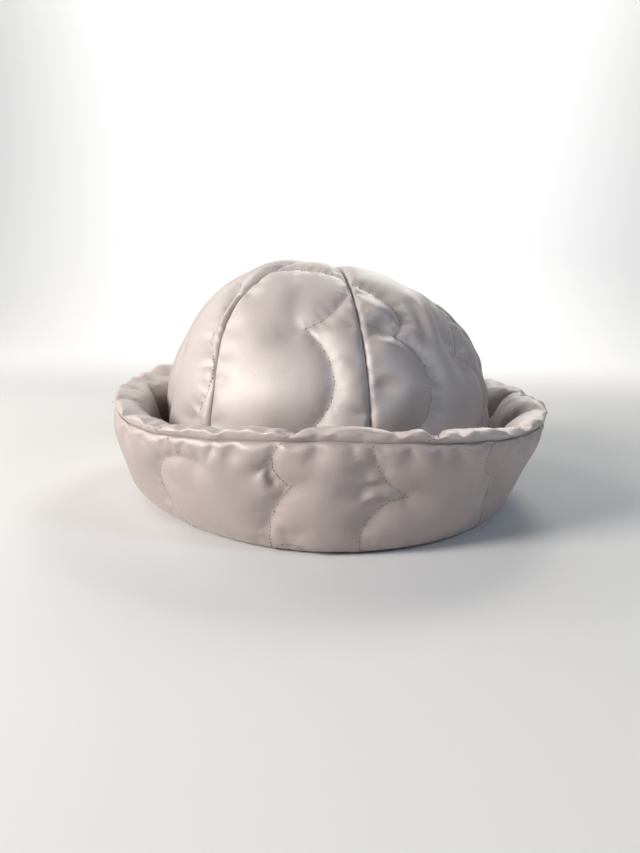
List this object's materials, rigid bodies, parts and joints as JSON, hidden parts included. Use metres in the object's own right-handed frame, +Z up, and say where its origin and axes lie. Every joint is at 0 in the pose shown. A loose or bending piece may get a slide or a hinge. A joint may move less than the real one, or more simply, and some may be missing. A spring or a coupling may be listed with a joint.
{
  "type": "quilted sailor hat",
  "caption": "Round crown of padded satin panels quilted in scallops, in a tall padded brim turned up all round, with a rolled lip and a trough between brim and crown.",
  "frame": {"origin": "on the surface it stands on, under the middle of the hat", "axes": "+Z up, -Y the front of the hat, +X its left when worn, which is the viewer's right"},
  "size_m": [0.2618, 0.2828, 0.1397],
  "materials": {
    "satin": "pale pinkish satin, quilted over soft padding",
    "lip_satin": "the same satin, smooth over the rolled lip"
  },
  "bodies": {
    "root": {"crown_panel_1": "satin", "crown_panel_2": "satin", "crown_panel_3": "satin", "crown_panel_4": "satin", "crown_panel_5": "satin", "crown_panel_6": "satin", "brim_outer": "satin", "brim_facing": "lip_satin"}
  },
  "joints": []
}
